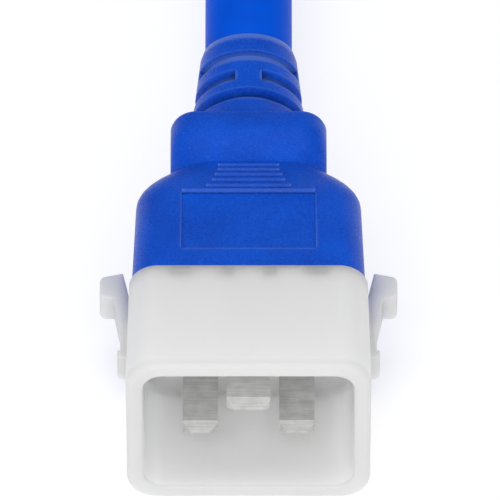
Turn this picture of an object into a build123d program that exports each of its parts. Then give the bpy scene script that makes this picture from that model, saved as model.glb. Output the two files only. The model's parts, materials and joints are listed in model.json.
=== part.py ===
from build123d import *
from math import cos, degrees, hypot, pi, radians, sin, tan
import os

# Power cord with a locking plug: millimetres, +Y from the mouth towards the cord, +Z up.
# Heights are measured from the surface that the plug lies on.

# Sleeve: the white shroud round the pins
mouth_width = 30.0
mouth_height = 22.0
mouth_corner = 2.8
mouth_floor_wall = 1.5
mouth_draft = 0.2
mouth_floor_round = 0.9
wall = 2.2
sleeve_length = 20.7
sleeve_taper = 0.3
lip_round = 0.9
lip_inner_round = 0.45
boss_width = 25.0
boss_height = 17.0
boss_length = 4.5
boss_corner = 2.0
boss_groove_depth = 1.0
boss_groove_width = 1.6

# Keys of the blue moulding that fill pockets in the sleeve's back edge
key_spots = ((9.8, 3.0), (3.05, 1.9))
key_thickness = 0.9
key_length = 1.5

# Pins: flat plated blades with a crimp barrel behind
pin_thickness = 2.0
power_pin_width = 5.0
earth_pin_width = 6.2
pin_pitch = 13.8
pin_rows_apart = 7.7
power_tip_depth = 4.1
earth_lead = 3.1
tip_bevel_long = 1.4
tip_bevel_high = 0.75
tip_bevel_side = 1.0
barrel_radius = 2.35
barrel_length = 8.0
barrel_start = 7.0

# Cores: insulated wires from the barrels to the cord
wire_radius = 1.5
insulation_radius = 2.1
core_lay_radius = 2.7
core_bare_length = 6.0

# Lock levers: one on each side, in a window of the sleeve's wall
lever_height = 4.5
lever_gap = 0.25
lever_root_y = 7.2
lever_root_radius = 0.65
lever_root_clearance = 0.08
lever_travel_deg = 4.0
lever_thickness = 1.55
catch_y = 14.7
catch_step = 0.45
catch_length = 1.65
catch_stand_out = 1.65
arm_bend_y = 19.5
arm_flare = 1.05
pad_front_y = 25.5
pad_back_y = 30.6
pad_stand_out = 4.4
pad_slope = 0.9
arm_inner_flare = 0.45
pad_inner_flare = 1.4
pad_round = 1.1
catch_round = 0.9
pocket_margin = 0.5

# Blue moulding behind the sleeve
body_step = 0.3
body_side_step = 0.35
body_corner = 4.0
shoulder_y = 36.5
waist_y = 46.4
waist_height = 19.2
rear_width = 22.8
rear_height = 24.4
rear_top_y = 51.6
rear_end_y = 55.0
rear_corner = 3.8
rear_round = 1.0
front_taper = 0.9
front_fall = 0.5
waist_corner = 6.0
crown_power = 1.4
shoulder_steps = 7
rise_steps = 6
panel_width = 19.3
panel_front_y = 24.7
panel_back_y = 36.6
panel_depth = 0.25
rib_first_y = 38.2
rib_pitch = 1.65
rib_width = 0.8
rib_rise = 0.3
rib_lengths = (12.3, 10.6, 9.8, 8.9, 8.9)

# Strain relief
relief_length = 21.5
relief_lift_deg = 16.0
relief_root_radius = 9.3
relief_neck_radius = 7.35
relief_neck_length = 18.6
relief_end_radius = 6.75
groove_first = 7.7
groove_pitch = 4.4
groove_count = 3
groove_floor_width = 1.4
groove_near_slope = 0.15
groove_far_slope = 0.5
groove_depth = 1.5
groove_skin = 0.2
groove_bridge_deg = 28.0

# Cord
cord_diameter = 12.9
cord_hidden_length = 5.0
coil_radius = 70.0
coil_step_deg = 15
lap_pitch_ratio = 1.06
tie_width = 14.0
tie_thickness = 1.2
tie_slack = 0.3

# Far connector
nose_width = 28.4
nose_height = 20.4
nose_corner = 2.2
nose_length = 19.5
nose_round = 0.6
nose_root_length = 4.5
slot_clearance = 0.35
slot_depth = 5.0
contact_wall = 0.4
contact_length = 16.0
contact_back_wall = 1.0
strap_thickness = 1.2
strap_inset = 0.5

# Derived places
sleeve_width = mouth_width + 2 * wall + 2 * mouth_draft
sleeve_height = mouth_height + 2 * wall
mouth_depth = sleeve_length - mouth_floor_wall
axis_z = sleeve_height / 2
sleeve_corner = mouth_corner + 1.4
cord_radius = cord_diameter / 2
relief_lift = radians(relief_lift_deg)
relief_bend_radius = relief_length / relief_lift
lift_run = relief_bend_radius * sin(relief_lift)
lift_rise = relief_bend_radius * (1 - cos(relief_lift))
plug_length = rear_end_y + lift_run + relief_end_radius * sin(relief_lift)
mouth_y = -plug_length / 2
side_x = sleeve_width / 2 - sleeve_taper
body_width = sleeve_width - 2 * sleeve_taper - 2 * body_side_step
body_height = sleeve_height - 2 * body_step


def along_y(y, lift=0.0, z=axis_z):
    """Plane across the plug at y, its normal along +Y, tipped up by lift radians."""
    return Plane(origin=(0, y, z), x_dir=(1, 0, 0), z_dir=(0, cos(lift), sin(lift)))


def rounded(y, width, height, corner):
    """Rounded rectangle across the plug at y, centred on the plug's axis."""
    return along_y(y) * RectangleRounded(width, height, corner)


def slab(x0, x1, y0, y1, z0, z1):
    """Rectangular block between two corners."""
    block = Box(x1 - x0, y1 - y0, z1 - z0)
    return Pos((x0 + x1) / 2, (y0 + y1) / 2, (z0 + z1) / 2) * block


def tube_y(x, z, radius, y0, y1):
    """Round bar parallel to Y."""
    return Pos(0, y0, 0) * extrude(Plane(origin=(x, 0, z), x_dir=(1, 0, 0), z_dir=(0, 1, 0)) * Circle(radius), y1 - y0)


def blade_profile(width, thickness, x, z, y0, y1):
    """Flat bar parallel to Y, centred at x and z."""
    return slab(x - width / 2, x + width / 2, y0, y1, z - thickness / 2, z + thickness / 2)


# The three poles: name, x, height, blade width, depth of the tip
power_z = axis_z - pin_rows_apart / 2
earth_z = axis_z + pin_rows_apart / 2
poles = (
    ("line", -pin_pitch / 2, power_z, power_pin_width, power_tip_depth),
    ("neutral", pin_pitch / 2, power_z, power_pin_width, power_tip_depth),
    ("earth", 0.0, earth_z, earth_pin_width, power_tip_depth - earth_lead),
)
lay_angles = {"line": 210.0, "neutral": 330.0, "earth": 90.0}
jacket_y = rear_end_y - cord_hidden_length
barrel_y = sleeve_length + barrel_start
barrel_end_y = barrel_y + barrel_length


def pin(x, z, width, tip_y):
    """Blade with four bevels at its tip and a round crimp barrel at its back."""
    blade = blade_profile(width, pin_thickness, x, z, tip_y, barrel_y)
    flat_half = width / 2 - tip_bevel_side
    edge_half = pin_thickness / 2 - tip_bevel_high
    side_view = Polyline((tip_y, edge_half), (tip_y + tip_bevel_long, pin_thickness / 2),
                         (barrel_y, pin_thickness / 2), (barrel_y, -pin_thickness / 2),
                         (tip_y + tip_bevel_long, -pin_thickness / 2), (tip_y, -edge_half), close=True)
    top_view = Polyline((-flat_half, tip_y), (-width / 2, tip_y + tip_bevel_side), (-width / 2, barrel_y),
                        (width / 2, barrel_y), (width / 2, tip_y + tip_bevel_side), (flat_half, tip_y), close=True)
    side_solid = extrude(Plane(origin=(x, 0, z), x_dir=(0, 1, 0), z_dir=(1, 0, 0)) * make_face(side_view),
                         width, both=True)
    top_solid = extrude(Plane(origin=(x, 0, z)) * make_face(top_view), pin_thickness, both=True)
    barrel = tube_y(x, z, barrel_radius, barrel_y, barrel_end_y)
    bore = tube_y(x, z, wire_radius, barrel_end_y - core_bare_length, barrel_end_y)
    return (blade & side_solid & top_solid) + (barrel - bore)


def core(x, z, angle_deg):
    """Insulated wire: a bare end in the barrel, then a bend in to its place in the cord."""
    end_x = core_lay_radius * cos(radians(angle_deg))
    end_z = axis_z + core_lay_radius * sin(radians(angle_deg))
    bare = tube_y(x, z, wire_radius, barrel_end_y - core_bare_length, barrel_end_y)
    start = (x, barrel_end_y, z)
    lead = (jacket_y - barrel_end_y) / 3
    path = Bezier(start, (x, barrel_end_y + lead, z), (end_x, jacket_y - lead, end_z), (end_x, jacket_y, end_z))
    profile = Plane(origin=start, x_dir=(1, 0, 0), z_dir=(0, 1, 0)) * Circle(insulation_radius)
    return bare + sweep(profile, path)


def key_boxes():
    """The small keys at the sleeve's back edge, top and bottom."""
    boxes = []
    wall_middle = mouth_height / 2 + wall / 2
    for spot, length in key_spots:
        for side in (-1, 1):
            for face in (-1, 1):
                z = axis_z + face * wall_middle
                boxes.append(slab(side * spot - length / 2, side * spot + length / 2,
                                  sleeve_length - key_length, sleeve_length + 1,
                                  z - key_thickness / 2, z + key_thickness / 2))
    return boxes


# Lever places across the plug, on its right side
lever_skin_x = sleeve_width / 2 - sleeve_taper * catch_y / sleeve_length
root_x = lever_skin_x - lever_root_radius
arm_out_x = lever_skin_x + catch_stand_out - catch_step
arm_in_x = arm_out_x - catch_step - lever_thickness
behind_x = side_x - body_side_step
pad_out_x = side_x + pad_stand_out
catch_front_y = catch_y - catch_length


def lever():
    """Right lock lever: root, spring arm with a catch, and thumb pad."""
    pad_back = (pad_out_x, pad_back_y - pad_slope)
    pad_front = (pad_out_x, pad_front_y)
    catch_front = (arm_out_x + catch_step, catch_front_y)
    line = Polyline(
        (root_x - lever_root_radius, lever_root_y), (root_x - lever_root_radius, catch_front_y),
        (arm_in_x, catch_y), (behind_x, sleeve_length), (behind_x + arm_inner_flare, pad_front_y),
        (behind_x + pad_inner_flare, pad_back_y), pad_back, pad_front,
        (arm_out_x + arm_flare, pad_front_y), (arm_out_x, arm_bend_y), (arm_out_x, catch_y),
        (arm_out_x + catch_step, catch_y), catch_front, (lever_skin_x, catch_front_y),
        (lever_skin_x, lever_root_y), close=True)
    face = make_face(line)
    for corner, radius in ((pad_back, pad_round), (pad_front, pad_round), (catch_front, catch_round)):
        vertex = face.vertices().sort_by_distance((*corner, 0))[0]
        face = fillet(vertex, radius)
    blade = Pos(0, 0, axis_z - lever_height / 2) * extrude(face, lever_height)
    return blade + Pos(root_x, lever_root_y, axis_z) * Cylinder(lever_root_radius, lever_height)


def window():
    """Slot through the sleeve's side wall that the right lever lies in, open at the back."""
    high = lever_height + 2 * lever_gap
    reach = lever_root_radius + lever_root_clearance
    inner = mouth_width / 2 - mouth_draft - lever_gap
    socket = Pos(root_x, lever_root_y, axis_z) * Cylinder(reach, high)
    low = axis_z - high / 2
    neck = slab(inner, side_x + wall, lever_root_y, catch_y, low, low + high)
    back = slab(inner, side_x + wall, catch_y, sleeve_length + 1, low, low + high)
    return socket + neck + back


def sleeve_block():
    """Outer form of the shroud: flat top and underside, sides drafted towards the back, rounded long edges."""
    front = sleeve_width / 2
    back = front - sleeve_taper
    plan = Polyline((-front, 0), (front, 0), (back, sleeve_length), (-back, sleeve_length), close=True)
    block = extrude(make_face(plan), sleeve_height)
    long_edges = block.edges().filter_by_position(Axis.Y, sleeve_length / 4, 3 * sleeve_length / 4)
    return fillet([e for e in long_edges if e.length > sleeve_length - 1], sleeve_corner)


def sleeve(pins, window_cut):
    """White shroud with the mouth, a back wall for the pins and a boss in the blue moulding."""
    outer = sleeve_block()
    front = outer.faces().sort_by(Axis.Y)[0]
    outer = fillet(front.edges(), lip_round)
    cavity = loft([rounded(0, mouth_width, mouth_height, mouth_corner),
                   rounded(mouth_depth, mouth_width - 2 * mouth_draft, mouth_height - 2 * mouth_draft,
                           mouth_corner)], ruled=True)
    cavity = fillet(cavity.faces().sort_by(Axis.Y)[-1].edges(), mouth_floor_round)
    solid = outer - cavity
    rim = [e for e in solid.faces().sort_by(Axis.Y)[0].inner_wires()[0].edges()]
    solid = fillet(rim, lip_inner_round)
    boss = extrude(rounded(sleeve_length, boss_width, boss_height, boss_corner), boss_length)
    groove_y = sleeve_length + (boss_length - boss_groove_width) / 2
    ring = extrude(rounded(groove_y, boss_width, boss_height, boss_corner), boss_groove_width)
    ring -= extrude(rounded(groove_y, boss_width - 2 * boss_groove_depth, boss_height - 2 * boss_groove_depth,
                            boss_corner), boss_groove_width)
    solid = solid + (boss - ring)
    for key in key_boxes():
        solid -= key
    for one in pins:
        solid -= one
    return solid - window_cut - mirror(window_cut, Plane.YZ)


def station(distance, lift):
    """Plane across the strain relief at a distance along its axis, which lifts by an arc."""
    if lift == 0:
        return along_y(rear_end_y + distance)
    bend = relief_length / lift
    turn = distance / bend
    return along_y(rear_end_y + bend * sin(turn), turn, axis_z + bend * (1 - cos(turn)))


def relief_radius(distance):
    """Outer radius of the strain relief, a cone with a rounded collar at its end."""
    if distance <= relief_neck_length:
        share = distance / relief_neck_length
        return relief_root_radius + (relief_neck_radius - relief_root_radius) * share
    share = (distance - relief_neck_length) / (relief_length - relief_neck_length)
    return relief_neck_radius + (relief_end_radius - relief_neck_radius) * share * share


def groove_cut(surface_radius, turn_deg):
    """Ring that cuts one groove: slanted walls, and two bridges that are left standing."""
    floor = max(surface_radius - groove_depth, cord_radius + groove_skin)
    outer = relief_root_radius + 1
    near = -groove_floor_width / 2
    far = groove_floor_width / 2
    outline = Polyline((floor, near), (outer, near - (outer - floor) * groove_near_slope),
                       (outer, far + (outer - floor) * groove_far_slope), (floor, far), close=True)
    ring = revolve(Plane.XZ * make_face(outline), Axis.Z, 360)
    reach = outer + 1
    spread = reach * tan(radians(groove_bridge_deg / 2))
    wedge = make_face(Polyline((0, 0), (reach, spread), (reach, -spread), close=True))
    for half in (0, 180):
        ring -= Rot(0, 0, turn_deg + half) * extrude(wedge, reach, both=True)
    return ring


def relief(lift):
    """Ribbed strain relief: grooves that leave bridges by turns at the sides and at top and bottom."""
    steps = [0, relief_neck_length / 3, 2 * relief_neck_length / 3, relief_neck_length,
             (relief_neck_length + relief_length) / 2, relief_length]
    solid = loft([station(s, lift) * Circle(relief_radius(s)) for s in steps], ruled=True)
    for number in range(groove_count):
        middle = groove_first + number * groove_pitch
        solid -= station(middle, lift) * groove_cut(relief_radius(middle), 0 if number % 2 == 0 else 90)
    return solid


def ease(share):
    """Smooth step from 0 to 1."""
    return share * share * (3 - 2 * share)


def moulding_sections():
    """Y, width, height and corner radius of the blue moulding at each of its sections."""
    end_width = body_width - front_taper
    end_height = body_height - front_fall
    yield sleeve_length, body_width, body_height, body_corner
    yield shoulder_y, end_width, end_height, body_corner
    for step in range(1, shoulder_steps):
        share = step / shoulder_steps
        yield (shoulder_y + share * (waist_y - shoulder_y),
               rear_width + (end_width - rear_width) * (1 - share ** 2),
               end_height - (end_height - waist_height) * share ** crown_power,
               body_corner + (waist_corner - body_corner) * ease(share))
    for step in range(rise_steps + 1):
        share = step / rise_steps
        yield (waist_y + share * (rear_top_y - waist_y), rear_width,
               waist_height + (rear_height - waist_height) * ease(share),
               waist_corner + (rear_corner - waist_corner) * ease(min(1, 2 * share)))
    for angle_deg in (0, 35, 65, 90):
        inset = 2 * rear_round * (1 - cos(radians(angle_deg)))
        yield (rear_end_y - rear_round * (1 - sin(radians(angle_deg))), rear_width - inset, rear_height - inset,
               rear_corner - inset / 4)


def moulding():
    """Main block, waist and raised rear block of the blue moulding, as one loft of rounded sections."""
    return loft([rounded(*section) for section in moulding_sections()], ruled=True)


def crown(solid, y):
    """Height of the moulding's top at y, on the plug's middle."""
    thin = solid & slab(-0.5, 0.5, y - 0.02, y + 0.02, axis_z, sleeve_height)
    return thin.bounding_box().max.Z


def grip(solid):
    """Recessed panel and raised grip ribs, on the top and on the underside."""
    panel_top = crown(solid, panel_back_y)
    panel = slab(-panel_width / 2, panel_width / 2, panel_front_y, panel_back_y,
                 panel_top - panel_depth, sleeve_height)
    bars = Part()
    rows = [(panel_back_y + rib_width / 2, panel_width)]
    rows += [(rib_first_y + number * rib_pitch, length) for number, length in enumerate(rib_lengths)]
    for y, length in rows:
        top = crown(solid, y)
        bar = Pos(0, y, top - rib_width / 2 + rib_rise) * Rot(0, 90, 0) * Cylinder(rib_width / 2, length)
        bars += bar + slab(-length / 2, length / 2, y - rib_width / 2, y + rib_width / 2,
                           top - rib_width * 1.5, top - rib_width / 2 + rib_rise)
    flip = Plane(origin=(0, 0, axis_z))
    solid = solid - panel - mirror(panel, flip)
    return solid + bars + mirror(bars, flip)


def blue_body(held, lift, pocket=None):
    """Blue moulding with its strain relief, hollowed by the pieces that it holds."""
    solid = moulding()
    if pocket:
        solid = solid - pocket - mirror(pocket, Plane.YZ)
    solid = grip(solid)
    solid += relief(lift)
    if pocket:
        for key in key_boxes():
            solid += key
    for piece in held:
        solid -= piece
    return solid


def lever_pocket():
    """Hollow in the moulding's side that the right lever's arm and pad move into."""
    half = lever_height / 2 + pocket_margin
    swing = radians(lever_travel_deg) * (pad_front_y - lever_root_y)
    inner = behind_x - swing - lever_gap
    return slab(inner, side_x + wall, sleeve_length - 1, pad_back_y + pocket_margin, axis_z - half, axis_z + half)


def jacket_end(lift):
    """The cord's jacket inside the moulding, up to the strain relief's end."""
    straight = tube_y(0, axis_z, cord_radius, jacket_y, rear_end_y)
    if lift == 0:
        return straight + tube_y(0, axis_z, cord_radius, rear_end_y, rear_end_y + relief_length)
    pivot = Axis((0, rear_end_y, axis_z + relief_length / lift), (1, 0, 0))
    return straight + revolve(along_y(rear_end_y) * Circle(cord_radius), pivot, degrees(lift))


# Plug pieces, with the mouth at y = 0
pieces = {}
plug_pins = {name: pin(x, z, width, tip) for name, x, z, width, tip in poles}
plug_cores = {name: core(x, z, lay_angles[name]) for name, x, z, width, tip in poles}
right_lever = lever()
window_cut = window()
plug_jacket = jacket_end(relief_lift)
plug_sleeve = sleeve(plug_pins.values(), window_cut)
held_pieces = [plug_sleeve, plug_jacket, *plug_pins.values(), *plug_cores.values()]
pieces["plug_sleeve"] = plug_sleeve
pieces["lock_lever_right"] = right_lever
pieces["lock_lever_left"] = mirror(right_lever, Plane.YZ)
for name in plug_pins:
    pieces[f"{name}_pin"] = plug_pins[name]
    pieces[f"{name}_core"] = plug_cores[name]
pieces["plug_body"] = blue_body(held_pieces, relief_lift, lever_pocket())
pieces["cord_entry"] = plug_jacket


# Cord: a lead from the plug to the coil, the coil, and a tail to the far connector
lap_pitch = cord_diameter * lap_pitch_ratio
exit_y = rear_end_y + lift_run
exit_z = axis_z + lift_rise
first_run = 24.0
lead_route = [
    (0.0, exit_y, exit_z),
    (0.0, exit_y + first_run * cos(relief_lift), exit_z + first_run * sin(relief_lift)),
    (0.4, exit_y + 48.4, 21.8),
    (1.6, exit_y + 72.4, 13.4),
    (3.0, exit_y + 96.8, cord_radius),
    (4.2, exit_y + 122.8, cord_radius),
    (4.2, exit_y + 147.8, cord_radius),
]
coil_x = lead_route[-1][0] - coil_radius
coil_y = lead_route[-1][1]
upper_z = cord_radius + lap_pitch
tail_x = coil_x - coil_radius
tail_route = [
    (tail_x, coil_y, upper_z),
    (tail_x, coil_y - 26.0, upper_z),
    (tail_x - 0.8, coil_y - 53.0, 16.6),
    (tail_x - 2.0, coil_y - 80.0, axis_z),
    (tail_x - 2.0, coil_y - 104.0, axis_z),
]


def corner_radii(route):
    """Largest arc at each corner: 0.45 of the shorter run over the tangent of half the turn."""
    radii = []
    for before, at, after in zip(route, route[1:], route[2:]):
        run_in = Vector(*at) - Vector(*before)
        run_out = Vector(*after) - Vector(*at)
        half_turn = radians(run_in.get_angle(run_out)) / 2
        radii.append(0.45 * min(run_in.length, run_out.length) / tan(half_turn))
    return radii


def cord_tube(route):
    """Round cord along straight runs joined by tangent arcs."""
    radii = corner_radii(route)
    print("arc radii in diameters", [round(r / cord_diameter, 1) for r in radii])
    path = FilletPolyline(*route, radius=radii)
    start = Plane(origin=route[0], z_dir=(Vector(*route[1]) - Vector(*route[0])).normalized())
    solid = sweep(start * Circle(cord_radius), path)
    print("volume over section times length", round(solid.volume / (pi * cord_radius ** 2 * path.length), 4),
          "length", round(path.length, 1))
    return solid


def lap_height(turn_deg):
    """Height of the first lap's centre: on the surface, then up over the lead."""
    rise_from = 195.0
    rise_to = 318.0
    share = min(max((turn_deg - rise_from) / (rise_to - rise_from), 0), 1)
    return cord_radius + lap_pitch * share * share * (3 - 2 * share)


def coil_station(turn_deg, height):
    """Plane across the coil at a turn from its start, at a height over the surface."""
    turn = radians(turn_deg)
    place = (coil_x + coil_radius * cos(turn), coil_y + coil_radius * sin(turn), height)
    return Plane(origin=place, x_dir=(0, 0, 1), z_dir=(-sin(turn), cos(turn), 0))


def tie_lift(turn_deg):
    """How far the strap under the coil lifts its back half."""
    return (tie_thickness + tie_slack) * sin(radians(turn_deg)) ** 2


def coil():
    """Outer shape of the coil: two laps on each other at the back, one lap at the front."""
    double = loft([coil_station(turn, cord_radius + lap_pitch / 2 + tie_lift(turn))
                   * SlotOverall(cord_diameter + lap_pitch, cord_diameter)
                   for turn in range(0, 181, coil_step_deg)], ruled=True)
    single = loft([coil_station(turn, lap_height(turn)) * Circle(cord_radius)
                   for turn in range(180, 361, coil_step_deg)], ruled=True)
    return double + single


def tie():
    """Strap round the two laps at the back of the coil."""
    middle_z = cord_radius + lap_pitch / 2 + tie_lift(90)
    place = Plane(origin=(coil_x - tie_width / 2, coil_y + coil_radius, middle_z), x_dir=(0, 0, 1), z_dir=(1, 0, 0))
    inner_long = cord_diameter + lap_pitch
    bow = coil_radius - hypot(coil_radius, tie_width / 2)
    inner = SlotOverall(inner_long + 2 * tie_slack, cord_diameter + 2 * tie_slack - 2 * bow)
    outer = SlotOverall(inner_long + 2 * tie_slack + 2 * tie_thickness,
                        cord_diameter + 2 * tie_slack - 2 * bow + 2 * tie_thickness)
    return extrude(place * (outer - inner), tie_width)


pieces["cord_lead"] = cord_tube(lead_route)
pieces["cord_coil"] = coil()
pieces["coil_tie"] = tie() - pieces["cord_coil"]
pieces["cord_tail"] = cord_tube(tail_route)


# Far connector, built like the plug with its face at y = 0, then turned and placed
def contact_block(x, z, width):
    """Space that a contact takes: its box, the strap behind it and its barrel."""
    back_y = sleeve_length
    box = blade_profile(width + 2 * slot_clearance, pin_thickness + 2 * slot_clearance, x, z,
                        back_y - contact_length, back_y)
    strap = blade_profile(power_pin_width - 2 * strap_inset, strap_thickness, x, z, back_y, barrel_y)
    return box + strap + tube_y(x, z, barrel_radius, barrel_y, barrel_end_y)


def contact(x, z, width):
    """Sheet metal contact: a flat box for the pin, a strap and a barrel for the wire."""
    shrink = 2 * slot_clearance - 2 * contact_wall
    room = blade_profile(width + shrink, pin_thickness + shrink, x, z,
                         sleeve_length - contact_length, sleeve_length - contact_back_wall)
    bore = tube_y(x, z, wire_radius, barrel_end_y - core_bare_length, barrel_end_y)
    return contact_block(x, z, width) - room - bore


def nose(blocks):
    """Rigid insert that the far socket's contacts sit in, with three slots in its face."""
    front_y = sleeve_length - nose_length
    solid = extrude(rounded(front_y, nose_width, nose_height, nose_corner), nose_length)
    solid = fillet(solid.faces().sort_by(Axis.Y)[0].edges(), nose_round)
    solid += extrude(rounded(sleeve_length, boss_width, boss_height, boss_corner), nose_root_length)
    for name, x, z, width, tip in poles:
        solid -= blade_profile(width + slot_clearance, pin_thickness + slot_clearance, x, z,
                               front_y - 1, front_y + slot_depth)
    for block in blocks:
        solid -= block
    return solid


far_contacts = {name: contact(x, z, width) for name, x, z, width, tip in poles}
far_blocks = [contact_block(x, z, width) for name, x, z, width, tip in poles]
far_nose = nose(far_blocks)
far_cores = {name: core(x, z, lay_angles[name]) for name, x, z, width, tip in poles}
far_jacket = jacket_end(0)
far_body = blue_body([far_nose, far_jacket, *far_blocks, *far_cores.values()], 0)
far_end = tail_route[-1]
far_place = Pos(far_end[0], far_end[1] - rear_end_y - relief_length, 0)
far_pieces = {"connector_insert": far_nose, "connector_body": far_body, "connector_cord_end": far_jacket}
for name in far_contacts:
    far_pieces[f"connector_{name}_contact"] = far_contacts[name]
    far_pieces[f"connector_{name}_core"] = far_cores[name]
for name, solid in far_pieces.items():
    pieces[name] = far_place * solid

os.makedirs("parts", exist_ok=True)
for name, solid in pieces.items():
    placed = Pos(0, mouth_y, 0) * solid
    placed.label = name
    export_step(placed, f"parts/{name}.step")
print("plug length", round(plug_length, 2), "mouth y", round(mouth_y, 3))
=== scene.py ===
import bpy
import json
import math
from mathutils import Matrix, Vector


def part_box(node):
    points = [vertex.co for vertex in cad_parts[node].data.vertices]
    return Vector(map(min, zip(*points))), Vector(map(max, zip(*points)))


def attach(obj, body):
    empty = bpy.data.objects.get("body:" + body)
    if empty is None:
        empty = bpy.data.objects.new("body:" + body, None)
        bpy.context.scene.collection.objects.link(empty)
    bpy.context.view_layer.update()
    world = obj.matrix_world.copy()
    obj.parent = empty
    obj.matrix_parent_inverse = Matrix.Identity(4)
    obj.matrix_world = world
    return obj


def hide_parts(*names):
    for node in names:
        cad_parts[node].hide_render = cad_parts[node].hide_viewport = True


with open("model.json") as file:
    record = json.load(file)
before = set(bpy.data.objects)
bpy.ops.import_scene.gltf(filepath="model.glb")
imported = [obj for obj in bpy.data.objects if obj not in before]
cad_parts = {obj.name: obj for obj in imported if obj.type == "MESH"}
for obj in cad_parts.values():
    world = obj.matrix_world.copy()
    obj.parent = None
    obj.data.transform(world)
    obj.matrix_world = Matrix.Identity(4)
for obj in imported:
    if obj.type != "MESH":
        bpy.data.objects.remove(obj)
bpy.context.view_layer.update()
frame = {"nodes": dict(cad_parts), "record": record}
print("frame loaded with", len(frame["nodes"]), "nodes")

millimetre = 0.001
sleeveLow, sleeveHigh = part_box("plug_sleeve")
axisHeight = (sleeveLow.z + sleeveHigh.z) / 2  # height of the plug's middle over the floor


def behindMouth(y):  # a distance behind the mouth, in millimetres, as a place in the frame
    return sleeveLow.y + y * millimetre


# Camera at the photograph's angle: in front of the mouth and above it, with a long lens
cameraValues = {
    "elevation": 43.5,  # degrees above the floor
    "distance": 1.2,  # metres from the point that it looks at
    "lens": 594.0,  # millimetres, as the sensor
    "sensor": 36.0,
    "nearest": 0.05,
    "farthest": 20.0,
    "aimAcross": 0.00021,  # metres, the plug's middle stands a little left of the picture's
    "aimBehindMouth": 37.78,  # millimetres
}


def placeCamera(v):
    data = bpy.data.cameras.new("plugCamera")
    data.lens = v["lens"]
    data.sensor_width = v["sensor"]
    data.clip_start = v["nearest"]
    data.clip_end = v["farthest"]
    camera = bpy.data.objects.new("plugCamera", data)
    bpy.context.scene.collection.objects.link(camera)
    up = math.radians(v["elevation"])
    camera.location = (v["aimAcross"],
                       behindMouth(v["aimBehindMouth"]) - v["distance"] * math.cos(up),
                       axisHeight + v["distance"] * math.sin(up))
    camera.rotation_euler = (math.pi / 2 - up, 0, 0)
    bpy.context.scene.camera = camera
    print("camera placed")


placeCamera(cameraValues)


# Colours, pattern scales and nodes
def fromHex(text):  # sRGB hex to linear colour
    parts = [int(text[i:i + 2], 16) / 255 for i in (1, 3, 5)]
    linear = [p / 12.92 if p <= 0.04045 else ((p + 0.055) / 1.055) ** 2.4 for p in parts]
    return (*linear, 1.0)


def grey(value):
    return (value, value, value, 1.0)


def twoTones(span, first, second):  # stops of a ramp from one hex colour to another
    return [(span[0], fromHex(first)), (span[1], fromHex(second))]


def perMetre(size):  # pattern scale for a grain of that many millimetres
    return 1.0 / (size * millimetre)


def addNode(tree, kind, settings, links=None):  # a node, its values or ramp stops, and what feeds it
    node = tree.nodes.new("ShaderNode" + kind)
    for name, value in settings.items():
        if name == "stops":
            elements = node.color_ramp.elements
            while len(elements) < len(value):
                elements.new(0.5)
            for element, (at, colour) in zip(elements, value):
                element.position = at
                element.color = colour
        elif isinstance(name, int) or name in node.inputs:
            node.inputs[name].default_value = value
        else:
            setattr(node, name, value)
    for name, source in (links or {}).items():
        socket = source if isinstance(source, bpy.types.NodeSocket) else source.outputs[0]
        tree.links.new(socket, node.inputs[name])
    return node


def startMaterial(name, settings):  # a Principled material, its tree, shader and Object coordinates
    material = bpy.data.materials.new(name)
    material.use_nodes = True
    tree = material.node_tree
    shader = next(n for n in tree.nodes if n.type == "BSDF_PRINCIPLED")
    for socket, value in settings.items():
        shader.inputs[socket].default_value = value
    place = addNode(tree, "TexCoord", {}).outputs["Object"]
    return material, tree, shader, place


glossSpan = (0.3, 0.7)  # stretch of a pattern over which the gloss changes


def finishSkin(tree, shader, v, colour, relief, gloss=None):  # colour, bump and gloss of a surface
    tree.links.new(colour.outputs[0], shader.inputs["Base Color"])
    strength, depth = v["bump"]
    bump = addNode(tree, "Bump", {"Strength": strength, "Distance": depth * millimetre}, {"Height": relief})
    tree.links.new(bump.outputs["Normal"], shader.inputs["Normal"])
    if gloss is not None:
        stops = [(at, grey(value)) for at, value in zip(glossSpan, v["roughness"])]
        rough = addNode(tree, "ValToRGB", {"stops": stops}, {"Fac": gloss})
        tree.links.new(rough.outputs["Color"], shader.inputs["Roughness"])


# Natural polyamide, injection moulded: milky, lets light through, satin skin with faint flow marks
# Lengths in this look and in those that follow are in millimetres
sleeveLook = {
    "showing": 20.7,  # length of the sleeve in front of the blue body
    # painted shading: the wall is drawn a little darker at the front than at the back
    "frontShadingColour": "#efefef",
    "backShadingColour": "#f6f6f7",
    "edgeHighlightColour": "#f8f6ee",  # painted highlight, a pale line along the back edge
    "toneStops": (0.05, 0.975, 0.99),
    "flowColour": "#f0f0f0",
    "flowShare": 0.3,
    "flowSpan": (0.4, 0.65),
    "flowSize": 9.0,
    "flowStretch": (1.0, 0.45, 1.0),
    "keyColour": "#e2e3e6",  # where blue keys show through the milky skin
    "keySpots": ((9.8, 1.5), (3.05, 0.95)),  # place across and half length of the keys
    "keyFade": (0.2, 0.25),  # within and past the end of a key
    "keyReach": (0.9, 0.15),  # in front of the back edge
    "leverShadeColour": "#dadada",  # painted shade: the levers are drawn darker than the rest of the sleeve
    "leverSpan": (17.3, 17.7),
    "lipShadeColour": "#dadada",  # painted shade: the lip is drawn darker, so that it looks no brighter than the wall
    "lipSpan": (0.36, 1.8),
    "insideColour": "#fbfbfb",  # stands in for light that comes through the wall
    "insideHalf": (15.1, 11.1),
    "insideFade": 0.3,
    "insideSpan": (0.3, 0.9),  # behind the lip
    "lightDepth": 6.0,  # how far light wanders in the wall
    "grainSize": 0.25,
    "roughness": (0.36, 0.48),
    "bump": (0.2, 0.02),
}


def nearMiddle(tree, value, middle, full, none):  # 1 up to a distance from the middle, 0 from another on
    off = addNode(tree, "Math", {"operation": "SUBTRACT", 1: middle * millimetre}, {0: value})
    off = addNode(tree, "Math", {"operation": "ABSOLUTE"}, {0: off})
    return addNode(tree, "MapRange", {"From Min": full * millimetre, "From Max": none * millimetre,
                                      "To Min": 1.0, "To Max": 0.0}, {"Value": off})


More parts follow.
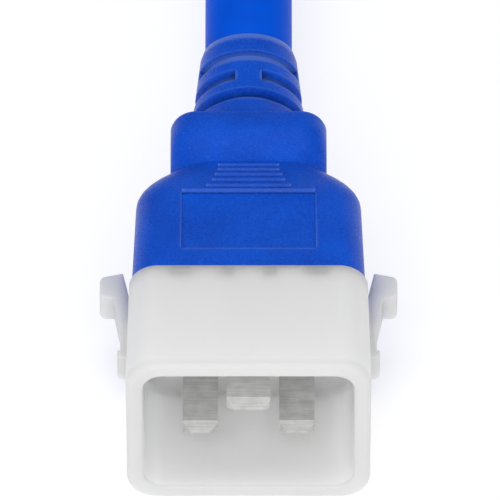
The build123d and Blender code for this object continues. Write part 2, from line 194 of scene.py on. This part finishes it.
def keyShadow(tree, axes, v):  # 1 over each key near the sleeve's back edge, 0 elsewhere
    across = addNode(tree, "Math", {"operation": "ABSOLUTE"}, {0: axes["X"]})
    within, past = v["keyFade"]
    first, second = [nearMiddle(tree, across, place, half - within, half + past)
                     for place, half in v["keySpots"]]
    found = addNode(tree, "Math", {"operation": "MAXIMUM"}, {0: first, 1: second})
    start, end = [behindMouth(v["showing"] - reach) for reach in v["keyReach"]]
    along = addNode(tree, "MapRange", {"From Min": start, "From Max": end}, {"Value": axes["Y"]})
    return addNode(tree, "Math", {"operation": "MULTIPLY"}, {0: found, 1: along})


def insideMouth(tree, axes, v):  # 1 on the walls of the mouth, 0 on the outside
    halfWidth, halfHeight = v["insideHalf"]
    wide = nearMiddle(tree, axes["X"], 0.0, halfWidth, halfWidth + v["insideFade"])
    high = nearMiddle(tree, axes["Z"], axisHeight / millimetre, halfHeight, halfHeight + v["insideFade"])
    start, end = [behindMouth(y) for y in v["insideSpan"]]
    behindLip = addNode(tree, "MapRange", {"From Min": start, "From Max": end}, {"Value": axes["Y"]})
    section = addNode(tree, "Math", {"operation": "MULTIPLY"}, {0: wide, 1: high})
    return addNode(tree, "Math", {"operation": "MULTIPLY"}, {0: section, 1: behindLip})


def mouldedPolyamide(v):
    material, tree, shader, place = startMaterial("mouldedPolyamide", {
        "IOR": 1.53, "Specular IOR Level": 0.35, "Subsurface Weight": 0.85,
        "Subsurface Scale": v["lightDepth"] * millimetre, "Subsurface Radius": (1.0, 1.0, 1.0)})
    axes = addNode(tree, "SeparateXYZ", {}, {"Vector": place}).outputs
    along = addNode(tree, "MapRange", {"From Min": behindMouth(0.0), "From Max": behindMouth(v["showing"])},
                    {"Value": axes["Y"]})
    # painted shading along the wall, ending in a painted highlight on the back edge
    tones = [fromHex(v[name]) for name in ("frontShadingColour", "backShadingColour", "edgeHighlightColour")]
    colour = addNode(tree, "ValToRGB", {"stops": list(zip(v["toneStops"], tones))}, {"Fac": along})
    stretched = addNode(tree, "Mapping", {"Scale": v["flowStretch"]}, {"Vector": place})
    flow = addNode(tree, "TexNoise", {"Scale": perMetre(v["flowSize"]), "Detail": 3.0, "Roughness": 0.6},
                   {"Vector": stretched})
    low, high = v["flowSpan"]
    patch = addNode(tree, "MapRange", {"From Min": low, "From Max": high, "To Max": v["flowShare"]},
                    {"Value": flow})
    colour = addNode(tree, "MixRGB", {"Color2": fromHex(v["flowColour"])}, {"Fac": patch, "Color1": colour})
    keys = keyShadow(tree, axes, v)
    colour = addNode(tree, "MixRGB", {"Color2": fromHex(v["keyColour"])}, {"Fac": keys, "Color1": colour})
    # painted shade on the levers, out past the sides of the sleeve
    plug = nearMiddle(tree, axes["X"], 0.0, *v["leverSpan"])
    colour = addNode(tree, "MixRGB", {"Color1": fromHex(v["leverShadeColour"])}, {"Fac": plug, "Color2": colour})
    # painted shade on the lip of the mouth
    start, end = [behindMouth(y) for y in v["lipSpan"]]
    lip = addNode(tree, "MapRange", {"From Min": start, "From Max": end, "To Min": 1.0, "To Max": 0.0},
                  {"Value": axes["Y"]})
    colour = addNode(tree, "MixRGB", {"Color2": fromHex(v["lipShadeColour"])}, {"Fac": lip, "Color1": colour})
    walls = insideMouth(tree, axes, v)
    colour = addNode(tree, "MixRGB", {"Color2": fromHex(v["insideColour"])},
                     {"Fac": walls, "Color1": colour})
    grain = addNode(tree, "TexNoise", {"Scale": perMetre(v["grainSize"]), "Detail": 3.0}, {"Vector": place})
    finishSkin(tree, shader, v, colour, grain, grain)
    return material


# Nickel-plated brass blades, ground across their width: dull metal with fine cross scratches
plateLook = {
    "colour": "#dededc",
    "darkColour": "#bababa",
    "toneSpan": (0.32, 0.62),
    "scratchSize": 0.2,  # coarser than real grinding marks, so that they show
    "scratchStretch": (0.03, 1.0, 1.0),
    "cloudSize": 1.6,
    "cloudShare": 0.35,
    "roughness": (0.5, 0.66),
    "bump": (0.35, 0.015),
}


def nickelPlating(v):
    material, tree, shader, place = startMaterial("nickelPlating", {"Metallic": 0.7})
    stretched = addNode(tree, "Mapping", {"Scale": v["scratchStretch"]}, {"Vector": place})
    scratch = addNode(tree, "TexNoise",
                      {"Scale": perMetre(v["scratchSize"]), "Detail": 3.0, "Roughness": 0.65},
                      {"Vector": stretched})
    cloud = addNode(tree, "TexNoise", {"Scale": perMetre(v["cloudSize"])}, {"Vector": place})
    both = addNode(tree, "MixRGB", {"Fac": v["cloudShare"]}, {"Color1": scratch, "Color2": cloud})
    tones = twoTones(v["toneSpan"], v["darkColour"], v["colour"])
    colour = addNode(tree, "ValToRGB", {"stops": tones}, {"Fac": both})
    finishSkin(tree, shader, v, colour, scratch, scratch)
    return material


# Soft PVC moulded in a spark-eroded tool: even matt blue with a fine pebble grain
mouldingLook = {
    "colour": "#005de6",
    "shadeColour": "#0042ba",
    "toneSpan": (0.32, 0.68),
    "grainSize": 0.26,  # coarser than such a grain usually is, so that it shows
    "cloudSize": 6.0,
    "cloudShare": 0.35,
    "tipGlintColour": "#4079ec",  # painted glints, the tips of the grain drawn paler
    "tipGlintShare": 0.32,
    "tipSpan": (0.55, 0.72),
    "edgeHighlightColour": "#8db0f6",  # paler edges where the real ones catch the light
    "edgeShare": 0.34,
    "edgeReach": 0.8,
    "edgeSpan": (0.45, 0.85),
    "hollowShade": 0.3,  # deepens the grooves beyond what the lamps give
    "hollowReach": 2.4,
    "hollowSpan": (0.35, 0.8),
    "raySamples": 12,
    "roughness": (0.24, 0.38),
    "bump": (1.0, 0.11),
}


def sparkGrainPvc(v):
    material, tree, shader, place = startMaterial("sparkGrainPvc", {
        "IOR": 1.53, "Specular IOR Level": 0.12, "Sheen Weight": 0.03, "Sheen Roughness": 0.3})
    grain = addNode(tree, "TexNoise", {"Scale": perMetre(v["grainSize"]), "Detail": 4.0, "Roughness": 0.7},
                    {"Vector": place})
    cloud = addNode(tree, "TexNoise", {"Scale": perMetre(v["cloudSize"])}, {"Vector": place})
    both = addNode(tree, "MixRGB", {"Fac": v["cloudShare"]}, {"Color1": grain, "Color2": cloud})
    tones = twoTones(v["toneSpan"], v["shadeColour"], v["colour"])
    colour = addNode(tree, "ValToRGB", {"stops": tones}, {"Fac": both})
    # painted glints: the tips of the grain are drawn paler than the rest
    low, high = v["tipSpan"]
    tips = addNode(tree, "MapRange", {"From Min": low, "From Max": high, "To Max": v["tipGlintShare"]},
                   {"Value": grain})
    colour = addNode(tree, "MixRGB", {"Color2": fromHex(v["tipGlintColour"])}, {"Fac": tips, "Color1": colour})
    rays = {"samples": v["raySamples"], "only_local": True}
    within = addNode(tree, "AmbientOcclusion",
                     {"Distance": v["edgeReach"] * millimetre, "inside": True, **rays})
    low, high = v["edgeSpan"]
    rim = addNode(tree, "MapRange",
                  {"From Min": low, "From Max": high, "To Min": v["edgeShare"], "To Max": 0.0},
                  {"Value": within.outputs["AO"]})
    colour = addNode(tree, "MixRGB", {"Color2": fromHex(v["edgeHighlightColour"])}, {"Fac": rim, "Color1": colour})
    around = addNode(tree, "AmbientOcclusion", {"Distance": v["hollowReach"] * millimetre, **rays})
    stops = list(zip(v["hollowSpan"], (grey(v["hollowShade"]), grey(1.0))))
    shade = addNode(tree, "ValToRGB", {"stops": stops}, {"Fac": around.outputs["AO"]})
    colour = addNode(tree, "MixRGB", {"blend_type": "MULTIPLY", "Fac": 1.0},
                     {"Color1": colour, "Color2": shade})
    finishSkin(tree, shader, v, colour, grain, grain)
    return material


# Extruded PVC jacket: smoother and deeper blue, with faint draw marks
jacketLook = {
    "colour": "#0058e4",
    "shadeColour": "#0052d8",
    "toneSpan": (0.35, 0.65),
    "cloudSize": 7.8,
    "drawSize": 1.3,
    "grainSize": 0.3,
    "roughness": (0.4, 0.5),
    "bump": (0.08, 0.1),
}


def extrudedJacket(v):
    material, tree, shader, place = startMaterial("extrudedJacket", {
        "IOR": 1.53, "Specular IOR Level": 0.04, "Sheen Weight": 0.06, "Sheen Roughness": 0.3})
    cloud = addNode(tree, "TexNoise", {"Scale": perMetre(v["cloudSize"])}, {"Vector": place})
    tones = twoTones(v["toneSpan"], v["shadeColour"], v["colour"])
    colour = addNode(tree, "ValToRGB", {"stops": tones}, {"Fac": cloud})
    grain = addNode(tree, "TexNoise", {"Scale": perMetre(v["grainSize"])}, {"Vector": place})
    draw = addNode(tree, "TexNoise", {"Scale": perMetre(v["drawSize"]), "Detail": 1.0}, {"Vector": place})
    finishSkin(tree, shader, v, colour, draw, grain)
    return material


# Woven polyester tie: black over-and-under weave
strapLook = {
    "colour": "#1b1b1d",
    "threadColour": "#303034",
    "toneSpan": (0.2, 0.8),
    "threadSpacing": 0.7,
    "waveSpan": 1.5,
    "bump": (0.8, 0.15),
}


def wovenStrap(v):
    material, tree, shader, place = startMaterial("wovenStrap", {"Roughness": 0.85, "Sheen Weight": 0.2})
    angle = 2 * math.pi / (v["threadSpacing"] * millimetre)
    axes = addNode(tree, "SeparateXYZ", {}, {"Vector": place}).outputs
    waves = []
    for axis in ("X", "Y", "Z"):
        turns = addNode(tree, "Math", {"operation": "MULTIPLY", 1: angle}, {0: axes[axis]})
        waves.append(addNode(tree, "Math", {"operation": "SINE"}, {0: turns}))
    across = addNode(tree, "Math", {"operation": "ADD"}, {0: waves[1], 1: waves[2]})
    weave = addNode(tree, "Math", {"operation": "MULTIPLY"}, {0: waves[0], 1: across})
    height = addNode(tree, "MapRange", {"From Min": -v["waveSpan"], "From Max": v["waveSpan"]},
                     {"Value": weave})
    tones = twoTones(v["toneSpan"], v["colour"], v["threadColour"])
    colour = addNode(tree, "ValToRGB", {"stops": tones}, {"Fac": height})
    finishSkin(tree, shader, v, colour, height)
    return material


# Glass-filled polyamide insert of the connector: black, slightly grainy
insertLook = {
    "colour": "#151517",
    "speckColour": "#232326",
    "toneSpan": (0.4, 0.75),
    "grainSize": 0.2,
    "bump": (0.3, 0.03),
}


def glassFilledPolyamide(v):
    material, tree, shader, place = startMaterial("glassFilledPolyamide", {"Roughness": 0.5, "IOR": 1.53})
    grain = addNode(tree, "TexNoise", {"Scale": perMetre(v["grainSize"]), "Detail": 3.0}, {"Vector": place})
    tones = twoTones(v["toneSpan"], v["colour"], v["speckColour"])
    colour = addNode(tree, "ValToRGB", {"stops": tones}, {"Fac": grain})
    finishSkin(tree, shader, v, colour, grain)
    return material


# Rolled brass strip of the contacts: warm metal with lengthwise rolling lines
brassLook = {
    "colour": "#c9a35a",
    "darkColour": "#9c7a3a",
    "toneSpan": (0.3, 0.7),
    "lineSize": 0.2,
    "lineStretch": (1.0, 0.05, 1.0),
    "bump": (0.2, 0.02),
}


def rolledBrass(v):
    material, tree, shader, place = startMaterial("rolledBrass", {"Metallic": 1.0, "Roughness": 0.35})
    stretched = addNode(tree, "Mapping", {"Scale": v["lineStretch"]}, {"Vector": place})
    line = addNode(tree, "TexNoise", {"Scale": perMetre(v["lineSize"]), "Detail": 3.0}, {"Vector": stretched})
    tones = twoTones(v["toneSpan"], v["darkColour"], v["colour"])
    colour = addNode(tree, "ValToRGB", {"stops": tones}, {"Fac": line})
    finishSkin(tree, shader, v, colour, line)
    return material


# PVC insulation of the cores: glossy, one colour for each pole, the earth green with yellow bands
coreLooks = {
    "core_brown": {"finish": "coreInsulationBrown", "colour": "#5b3216", "stripe": "#54290f"},
    "core_blue": {"finish": "coreInsulationBlue", "colour": "#2f7fd6", "stripe": "#2a74c8"},
    "core_green": {"finish": "coreInsulationGreen", "colour": "#2f9a3a", "stripe": "#e5d43a"},
}
stripeValues = {"span": (0.45, 0.55), "size": 9.0}


def coreInsulation(v):
    material, tree, shader, place = startMaterial(v["finish"], {"Roughness": 0.35})
    bands = addNode(tree, "TexWave", {"Scale": perMetre(stripeValues["size"])}, {"Vector": place})
    stops = twoTones(stripeValues["span"], v["colour"], v["stripe"])
    colour = addNode(tree, "ValToRGB", {"stops": stops}, {"Fac": bands.outputs["Fac"]})
    tree.links.new(colour.outputs["Color"], shader.inputs["Base Color"])
    return material


finishes = {
    "sleeve": mouldedPolyamide(sleeveLook),
    "pin_plating": nickelPlating(plateLook),
    "moulding": sparkGrainPvc(mouldingLook),
    "jacket": extrudedJacket(jacketLook),
    "strap": wovenStrap(strapLook),
    "insert": glassFilledPolyamide(insertLook),
    "contact_brass": rolledBrass(brassLook),
}
for coreSlot, coreLook in coreLooks.items():
    finishes[coreSlot] = coreInsulation(coreLook)
for part in frame["record"]["subparts"]:
    node = frame["nodes"][part["node"]]
    node.data.materials.clear()
    node.data.materials.append(finishes[part["material_slot"]])
print("finishes assigned:", len(finishes))


# Moulded pieces keep their own form, with merged corners, small rounds on their edges and smooth shading
softValues = {
    "plug_body": {"round": 0.28, "segments": 3, "slot": "moulding", "body": "cord_set"},
    "connector_body": {"round": 0.28, "segments": 3, "slot": "moulding", "body": "cord_set"},
    "plug_sleeve": {"round": 0.15, "segments": 2, "slot": "sleeve", "body": "cord_set"},
    "lock_lever_left": {"round": 0.45, "segments": 3, "slot": "sleeve", "body": "left_lever"},
    "lock_lever_right": {"round": 0.45, "segments": 3, "slot": "sleeve", "body": "right_lever"},
    "connector_insert": {"round": 0.2, "segments": 2, "slot": "insert", "body": "cord_set"},
}
meshValues = {
    "mergeDistance": 0.002,  # in millimetres
    "flatAngle": 1.0,  # in degrees, faces that meet at less become one
    "roundAngle": 32.0,  # edges sharper than this are rounded
    "smoothAngle": 38.0,  # edges sharper than this stay crisp in the shading
}


def softPiece(name, v):
    words = name.split("_")
    mesh = frame["nodes"][name].data.copy()
    piece = bpy.data.objects.new(words[0] + "".join(w.title() for w in words[1:]), mesh)
    bpy.context.scene.collection.objects.link(piece)
    bpy.ops.object.select_all(action="DESELECT")
    piece.select_set(True)
    bpy.context.view_layer.objects.active = piece
    bpy.ops.object.mode_set(mode="EDIT")
    bpy.ops.mesh.select_all(action="SELECT")
    bpy.ops.mesh.remove_doubles(threshold=meshValues["mergeDistance"] * millimetre)
    bpy.ops.mesh.customdata_custom_splitnormals_clear()
    bpy.ops.mesh.dissolve_limited(angle_limit=math.radians(meshValues["flatAngle"]))
    bpy.ops.object.mode_set(mode="OBJECT")
    bevel = piece.modifiers.new("edgeRound", "BEVEL")
    bevel.width = v["round"] * millimetre
    bevel.segments = v["segments"]
    bevel.limit_method = "ANGLE"
    bevel.angle_limit = math.radians(meshValues["roundAngle"])
    bevel.use_clamp_overlap = True
    bpy.ops.object.modifier_apply(modifier=bevel.name)
    bpy.ops.object.shade_smooth_by_angle(angle=math.radians(meshValues["smoothAngle"]))
    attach(piece, v["body"])
    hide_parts(name)
    print("rounded", piece.name, len(piece.data.polygons), "faces")


for nodeName, softValue in softValues.items():
    softPiece(nodeName, softValue)


# Cord: from the strain relief down to the floor, one and a half turns put away, and on to the connector
cordValues = {  # lengths and places in metres
    "diameter": 0.0129,
    "length": 0.915,
    "lead": [(0.0, 0.037181, 0.016183), (0.0, 0.060251, 0.022798), (0.0004, 0.085581, 0.0218),
             (0.0016, 0.109581, 0.0134), (0.003, 0.133981, 0.00645), (0.0042, 0.159981, 0.00645),
             (0.0042, 0.184981, 0.00645)],
    "coilRadius": 0.070,
    "pointsPerTurn": 24,
    "turns": 1.5,
    "lapPitch": 0.013674,
    "riseFrom": 195.0,  # where the first lap starts to climb over the lead, in degrees
    "riseTo": 318.0,
    "strapLift": 0.0015,  # the strap lies under the first lap
    "tail": [(-0.1358, 0.184981, 0.020124), (-0.1358, 0.158981, 0.020124), (-0.1366, 0.131981, 0.0166),
             (-0.1378, 0.104981, 0.0132), (-0.1378, 0.080981, 0.0132)],
    "stepsPerPoint": 8,
    "stepsRound": 10,
}


def cordPoints(v):
    lead, tail = v["lead"], v["tail"]
    centreX = lead[-1][0] - v["coilRadius"]
    centreY = lead[-1][1]
    step = 360.0 / v["pointsPerTurn"]
    outer = v["coilRadius"] / math.cos(math.radians(step / 2))
    points = list(lead)
    for count in range(round(v["turns"] * v["pointsPerTurn"])):
        turn = (count + 0.5) * step
        share = min(max((turn - v["riseFrom"]) / (v["riseTo"] - v["riseFrom"]), 0.0), 1.0)
        climb = v["lapPitch"] * share * share * (3 - 2 * share)
        lift = v["strapLift"] * max(0.0, math.sin(math.radians(turn))) ** 2
        points.append((centreX + outer * math.cos(math.radians(turn)),
                       centreY + outer * math.sin(math.radians(turn)),
                       v["diameter"] / 2 + climb + lift))
    return points + tail


def makeCord(v):
    data = bpy.data.curves.new("cordJacket", "CURVE")
    data.dimensions = "3D"
    points = cordPoints(v)
    spline = data.splines.new("NURBS")
    spline.points.add(len(points) - 1)
    for point, place in zip(spline.points, points):
        point.co = (*place, 1.0)
    spline.order_u = 3
    spline.use_endpoint_u = True
    spline.resolution_u = v["stepsPerPoint"]
    data.bevel_depth = v["diameter"] / 2
    data.bevel_resolution = v["stepsRound"]
    data.use_fill_caps = True
    cord = bpy.data.objects.new("cordJacket", data)
    bpy.context.scene.collection.objects.link(cord)
    data.materials.append(finishes["jacket"])
    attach(cord, "cord_set")
    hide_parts("cord_lead", "cord_coil", "cord_tail")
    print("cord laid with", len(points), "points")


makeCord(cordValues)


# Floor and light
stageValues = {  # sizes and places in metres, powers in watts
    "floorSize": 6.0,
    "floorColour": "#b0b0b0",
    "floorGlow": 0.67,  # a lit table, so shadows stay faint
    "skyStrength": 0.38,
    "keyPower": 17.0,
    "keySize": 1.3,
    "keyPlace": (-0.12, -1.5, 1.4),
    "topPower": 8.5,
    "topSize": 0.9,
    "topPlace": (-0.1, -0.1, 1.9),
}


def areaLight(name, place, size, power):  # a square light that faces the plug
    data = bpy.data.lights.new(name, "AREA")
    data.shape = "SQUARE"
    data.size = size
    data.energy = power
    light = bpy.data.objects.new(name, data)
    bpy.context.scene.collection.objects.link(light)
    light.location = place
    aim = light.location.copy()
    aim.negate()
    light.rotation_euler = aim.to_track_quat("-Z", "Y").to_euler()


def setStage(v):
    bpy.ops.object.select_all(action="DESELECT")
    bpy.ops.mesh.primitive_plane_add(size=v["floorSize"], location=(0, 0, 0))
    floor = bpy.context.object
    floor.name = "paleFloor"
    material = startMaterial("paleFloor", {
        "Base Color": fromHex(v["floorColour"]), "Roughness": 0.9, "Specular IOR Level": 0.1,
        "Emission Color": grey(1.0), "Emission Strength": v["floorGlow"]})[0]
    floor.data.materials.append(material)
    world = bpy.data.worlds.new("softSky")
    world.use_nodes = True
    sky = next(n for n in world.node_tree.nodes if n.type == "BACKGROUND")
    sky.inputs["Color"].default_value = grey(1.0)
    sky.inputs["Strength"].default_value = v["skyStrength"]
    bpy.context.scene.world = world
    areaLight("keyLight", v["keyPlace"], v["keySize"], v["keyPower"])
    areaLight("topLight", v["topPlace"], v["topSize"], v["topPower"])
    bpy.context.scene.view_settings.view_transform = "Standard"
    print("floor and light set")


setStage(stageValues)
